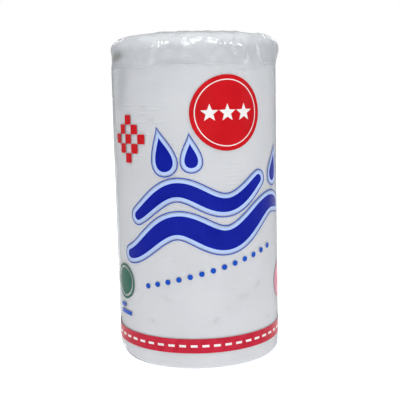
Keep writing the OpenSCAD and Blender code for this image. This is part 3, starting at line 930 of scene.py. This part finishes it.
def film_material():
    """Clear film: what is behind it, a milky haze where it is gathered, painted shade at its folds,
    and gloss.
    """
    n = material_nodes("clear_film")
    loose = n.attribute("loose")
    crest = n.attribute("crest")
    normal = film_bump(n)
    crinkle = n.math("MULTIPLY", n.noise(58, 1.0, rough=0.4, distortion=1.6), loose)
    normal = n.bump(crinkle, 0.0012, normal=normal)
    weight = n.add("LayerWeight")
    weight.inputs["Blend"].default_value = 0.5
    n.link(normal, weight.inputs["Normal"])
    facing = n.math("POWER", weight.outputs["Facing"], 5.0)
    # Both faces of each layer reflect, and loose film lies in folds of several layers
    head_on = n.remap(loose, 0.2, 1.0, 0.045, 0.10)
    schlick = n.math("ADD", n.math("MULTIPLY", facing, 0.22), head_on)
    front = n.math("SUBTRACT", 1.0, n.add("NewGeometry").outputs["Backfacing"])
    gloss_share = n.math("MULTIPLY", schlick, front, clamp=True)
    # Gathered film lies in several layers, so it lets less light through
    folds = n.noise(34, 3.0, rough=0.55, distortion=0.4)
    cloud = n.math("ADD", n.math("MULTIPLY", n.remap(folds, 0.35, 0.7, 0, 1), 0.14),
                   n.math("MULTIPLY", n.remap(crest, -0.6, 0.5, 1.0, 0.0), 0.07))
    haze = n.math("ADD", n.math("MULTIPLY", loose, n.math("ADD", cloud, 0.5)), 0.015, clamp=True)
    # The shade attribute is painted shade: it thickens the haze and darkens its colour
    shade = n.attribute("shade")
    haze = n.math("ADD", haze, n.math("MULTIPLY", shade, 0.4), clamp=True)
    clear = n.add("BsdfTransparent")
    # Light runs further through the film where it's seen edge on
    edge = n.math("POWER", weight.outputs["Facing"], 9.0)
    passed = n.ramp(edge, [(0.0, (0.965, 0.972, 0.98)), (1.0, (0.40, 0.41, 0.42))])
    n.link(passed, clear.inputs["Color"])
    milky = n.add("BsdfDiffuse")
    # The haze's colour darkens with the painted shade, down to dark green-grey in the fold's
    # painted shade
    cloudy = n.ramp(shade, [
        (0.0, (0.82, 0.845, 0.88)), (0.45, (0.62, 0.645, 0.68)), (1.0, (0.23, 0.24, 0.21))])
    n.link(cloudy, milky.inputs["Color"])
    n.link(normal, milky.inputs["Normal"])
    body = n.mix_shader(haze, clear.outputs[0], milky.outputs[0])
    gloss = n.add("BsdfGlossy")
    gloss.inputs["Color"].default_value = (1, 1, 1, 1)
    rough = n.remap(n.noise(40, 2.0), 0.3, 0.7, 0.12, 0.2)
    tight = n.remap(loose, 0.2, 0.9, 0.25, 0.0)
    n.link(n.math("ADD", rough, tight), gloss.inputs["Roughness"])
    n.link(normal, gloss.inputs["Normal"])
    return n.surface(n.mix_shader(gloss_share, body, gloss.outputs[0]))


# Height in metres that parts the band round the foot from the print above it
BAND_BELOW = 0.03


def ink_material(name, colour):
    """Glossy ink on the film, with the press's slight unevenness."""
    n = material_nodes(name)
    shader = n.add("BsdfPrincipled")
    uneven = n.noise(55, 4.0, rough=0.6)
    light = tuple(min(1.0, c * 1.07 + 0.003) for c in colour)
    dark = tuple(c * 0.9 for c in colour)
    ink = n.ramp(uneven, [(0.3, dark), (0.7, light)])
    if name == "ink_red":
        # The band round the foot is printed in a cooler, more uneven red
        split = n.add("SeparateXYZ")
        n.link(n.coordinates(), split.inputs[0])
        low = n.math("LESS_THAN", split.outputs["Z"], BAND_BELOW)
        band = n.ramp(n.noise(120, 3.0, rough=0.6), [
            (0.3, (0.47, 0.010, 0.030)), (0.7, (0.60, 0.028, 0.060))])
        ink = n.mix_colour(low, ink, band)
    if name == "ink_blue":
        # Thin lines, dots and bars are printed in a lighter blue
        lighter = n.ramp(uneven, [(0.3, (0.010, 0.075, 0.46)), (0.7, (0.014, 0.095, 0.56))])
        ink = n.mix_colour(n.attribute("fine"), ink, lighter)
    n.link(ink, shader.inputs["Base Color"])
    n.link(n.remap(n.noise(40, 2.0), 0.3, 0.7, 0.16, 0.27), shader.inputs["Roughness"])
    n.link(film_bump(n), shader.inputs["Normal"])
    shader.inputs["Specular IOR Level"].default_value = 0.08
    return n.surface(shader.outputs[0])


def paper_material():
    """Matt white paper: fibres and crepe, and the painted light and shade of its embossing and
    dimples.
    """
    n = material_nodes("embossed_paper")
    shader = n.add("BsdfPrincipled")
    plain = n.ramp(n.noise(30, 3.0, rough=0.5), [
        (0.32, (0.725, 0.722, 0.730)), (0.5, (0.749, 0.747, 0.760)), (0.68, (0.767, 0.763, 0.768))])
    # Painted light and shade of the embossing and the dimples, multiplied into the paper's colour
    painted_light_and_shade = n.remap(n.attribute("painted_light_and_shade"), -1.5, 1.5, 0.82, 1.18)
    colour = n.mix_colour(1.0, plain, painted_light_and_shade, blend_type="MULTIPLY")
    n.link(colour, shader.inputs["Base Color"])
    fibres = n.noise(900, 2.0, stretch=(1, 1, 2.2), rough=0.7)
    crepe = n.noise(320, 3.0, stretch=(1, 1, 3.5), rough=0.6)
    pillow = n.noise(90, 2.0, rough=0.5)
    normal = n.bump(pillow, 0.0007)
    normal = n.bump(crepe, 0.00022, normal=normal)
    normal = n.bump(fibres, 0.00008, normal=normal)
    n.link(normal, shader.inputs["Normal"])
    n.link(n.remap(fibres, 0.3, 0.7, 0.86, 0.98), shader.inputs["Roughness"])
    shader.inputs["Specular IOR Level"].default_value = 0.25
    shader.inputs["Sheen Weight"].default_value = 0.15
    return n.surface(shader.outputs[0])


# Metres that a strip of card climbs in one turn
STRIP_PITCH = 0.075


def card_material():
    """Grey-brown card wound from spiral strips."""
    n = material_nodes("core_card")
    shader = n.add("BsdfPrincipled")
    place = n.add("TexCoord")
    split = n.add("SeparateXYZ")
    n.link(place.outputs["Object"], split.inputs[0])
    angle = n.math("DIVIDE", n.math("ARCTAN2", split.outputs["Y"], split.outputs["X"]), TAU)
    climb = n.math("DIVIDE", split.outputs["Z"], STRIP_PITCH)
    turn = n.math("FRACT", n.math("ADD", climb, angle))
    seam = n.math("LESS_THAN", turn, 0.02)
    grain = n.noise(260, 4.0, rough=0.65)
    colour = n.ramp(grain, [(0.3, (0.36, 0.28, 0.19)), (0.7, (0.50, 0.41, 0.30))])
    colour = n.mix_colour(n.math("MULTIPLY", seam, 0.7), colour, (0.2, 0.15, 0.1, 1))
    n.link(colour, shader.inputs["Base Color"])
    normal = n.bump(turn, 0.0003)
    n.link(n.bump(grain, 0.00012, normal=normal), shader.inputs["Normal"])
    n.link(n.remap(grain, 0.3, 0.7, 0.8, 0.95), shader.inputs["Roughness"])
    return n.surface(shader.outputs[0])


INKS = {
    "red": (0.58, 0.006, 0.012),
    "blue": (0.002, 0.010, 0.31),
    "light_blue": (0.46, 0.60, 0.92),
    "white": (0.88, 0.86, 0.86),
    "green": (0.02, 0.13, 0.085),
    "pink": (0.72, 0.22, 0.33),
}
SHAPES = {
    "red": red_shapes, "blue": blue_shapes, "light_blue": light_blue_shapes,
    "white": white_shapes, "green": green_shapes, "pink": pink_shapes,
}


def dress(obj, material, node):
    """Gives a piece its material and its place in the frame."""
    obj.data.materials.clear()
    obj.data.materials.append(material)
    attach(obj, "root")
    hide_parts(node)


dress(build_film(), film_material(), "film_wrapper")
dress(build_paper(), paper_material(), "paper_roll")
for ink, colour in INKS.items():
    piece = ink_object("ink_" + ink, ink, SHAPES[ink]())
    dress(piece, ink_material("ink_" + ink, colour), "print_" + ink)
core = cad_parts["core_tube"]
core.data.materials.clear()
core.data.materials.append(card_material())


# ---------------------------------------------------------------------------
# Floor, light and camera
# ---------------------------------------------------------------------------
FLOOR_HALF, FLOOR_CELLS = 30000.0, 12
MIDDLE = (0, 0, 0.13)
SHOULDER = (0, 0, 0.24)
# Small lights that the film's shoulder mirrors: name, place, size and power
GLINTS = [
    ("glint_front", (0.05, -0.75, 1.15), 0.43, 2.1),
    ("glint_near", (0.16, -0.3, 1.35), 0.18, 0.8),
    ("glint_left", (-0.75, -0.55, 0.9), 0.19, 1.3),
    ("glint_right", (0.85, -0.5, 0.75), 0.19, 1.1),
    ("glint_back", (-0.48, 1.27, 0.64), 0.25, 0.7),
    ("glint_back", (0.48, 1.27, 0.64), 0.25, 0.7),
]
CAMERA_PLACE = (0.0, -0.650, 0.2106)
CAMERA_PITCH, CAMERA_YAW, CAMERA_ROLL = 7.78, 0.25, -1.36
CAMERA_LENS = 72.54


def build_floor():
    points, faces = [], []
    half, cells = FLOOR_HALF, FLOOR_CELLS
    for j in range(cells + 1):
        for i in range(cells + 1):
            points.append((-half + 2 * half * i / cells, -half + 2 * half * j / cells, 0.0))
    for j in range(cells):
        for i in range(cells):
            a = j * (cells + 1) + i
            faces.append([a, a + 1, a + cells + 2, a + cells + 1])
    floor = mesh_object("floor", points, faces)
    n = material_nodes("pale_floor")
    shader = n.add("BsdfPrincipled")
    pale = n.ramp(n.noise(3, 2.0), [(0.3, (0.93, 0.93, 0.93)), (0.7, (0.96, 0.96, 0.96))])
    n.link(pale, shader.inputs["Base Color"])
    shader.inputs["Roughness"].default_value = 0.9
    shader.inputs["Specular IOR Level"].default_value = 0.1
    # The floor glows, most near the roll: painted light in place of a lit studio floor, which also
    # lights the roll from below. Seen by the camera it glows brighter still
    place = n.add("TexCoord")
    reach = n.add("VectorMath", operation="LENGTH")
    n.link(place.outputs["Object"], reach.inputs[0])
    painted_floor_light = n.remap(reach.outputs["Value"], 0.10, 0.9, 0.46, 0.3)
    seen = n.math("MULTIPLY", n.add("LightPath").outputs["Is Camera Ray"], 0.6)
    shader.inputs["Emission Color"].default_value = (1, 1, 1, 1)
    n.link(n.math("ADD", painted_floor_light, seen), shader.inputs["Emission Strength"])
    floor.data.materials.append(n.surface(shader.outputs[0]))


def area_light(name, place, target, size, power, colour=(1, 1, 1), size_y=None):
    light = bpy.data.lights.new(name, "AREA")
    light.shape = "RECTANGLE"
    light.size = size
    light.size_y = size_y or size
    light.energy = power
    light.color = colour
    obj = bpy.data.objects.new(name, light)
    obj.location = place
    direction = Vector(target) - Vector(place)
    obj.rotation_euler = direction.to_track_quat("-Z", "Y").to_euler()
    bpy.context.scene.collection.objects.link(obj)
    return obj


def build_light():
    key = area_light("key", (0.05, -1.5, 0.22), MIDDLE, 1.3, 7.5, (1.0, 0.995, 0.985))
    key.visible_glossy = False
    area_light("overhead", (0.0, -0.1, 1.7), MIDDLE, 2.4, 12.2)
    for name, place, size, power in GLINTS:
        glint = area_light(name, place, SHOULDER, size, power)
        glint.visible_camera = name != "glint_back"
    fill = area_light("fill_back", (0, 1.7, 0.7), MIDDLE, 1.2, 4.0)
    fill.visible_camera = fill.visible_glossy = False
    area_light("strip_right", (1.0, -0.3, 0.36), (0, 0, 0.2), 0.05, 0.35, size_y=0.4)


def build_world():
    """Dim light all round, brighter low down, before a backdrop that is white to the eye.
    What gloss mirrors is brighter overhead than what lights the paper."""
    world = bpy.data.worlds.new("studio")
    bpy.context.scene.world = world
    n = Nodes(world, "OutputWorld")
    split = n.add("SeparateXYZ")
    n.link(n.add("TexCoord").outputs["Generated"], split.inputs[0])
    height = split.outputs["Z"]
    level = n.remap(height, 0.1, 0.5, 0.3, 0.16, interpolation_type="SMOOTHSTEP")
    ray = n.add("LightPath").outputs
    mirrored = n.math("MULTIPLY", n.remap(height, 0.0, 0.45, 0.0, 1.0), ray["Is Glossy Ray"])
    bright = n.math("MAXIMUM", mirrored, ray["Is Camera Ray"])
    background = n.add("Background")
    background.inputs["Color"].default_value = (1.0, 1.0, 1.0, 1.0)
    n.link(n.math("MAXIMUM", level, bright), background.inputs["Strength"])
    n.surface(background.outputs[0])


def build_camera():
    """Stands in front of the roll and a little above its middle, looking down on it."""
    pitch, yaw, roll = (math.radians(v) for v in (CAMERA_PITCH, CAMERA_YAW, CAMERA_ROLL))
    level = Vector((math.sin(yaw), math.cos(yaw), 0))
    ahead = level * math.cos(pitch) - Vector((0, 0, math.sin(pitch)))
    up = level * math.sin(pitch) + Vector((0, 0, math.cos(pitch)))
    right = Vector((math.cos(yaw), -math.sin(yaw), 0))
    right, up = (right * math.cos(roll) + up * math.sin(roll),
                 up * math.cos(roll) - right * math.sin(roll))
    data = bpy.data.cameras.new("camera")
    data.sensor_width = 36.0
    data.lens = CAMERA_LENS
    data.clip_start = 0.01
    camera = bpy.data.objects.new("camera", data)
    rows = [(right[i], up[i], -ahead[i], CAMERA_PLACE[i]) for i in range(3)]
    camera.matrix_world = Matrix(rows + [(0, 0, 0, 1)])
    bpy.context.scene.collection.objects.link(camera)
    bpy.context.scene.camera = camera


build_floor()
build_light()
build_world()
build_camera()
bpy.context.scene.view_settings.view_transform = "Standard"
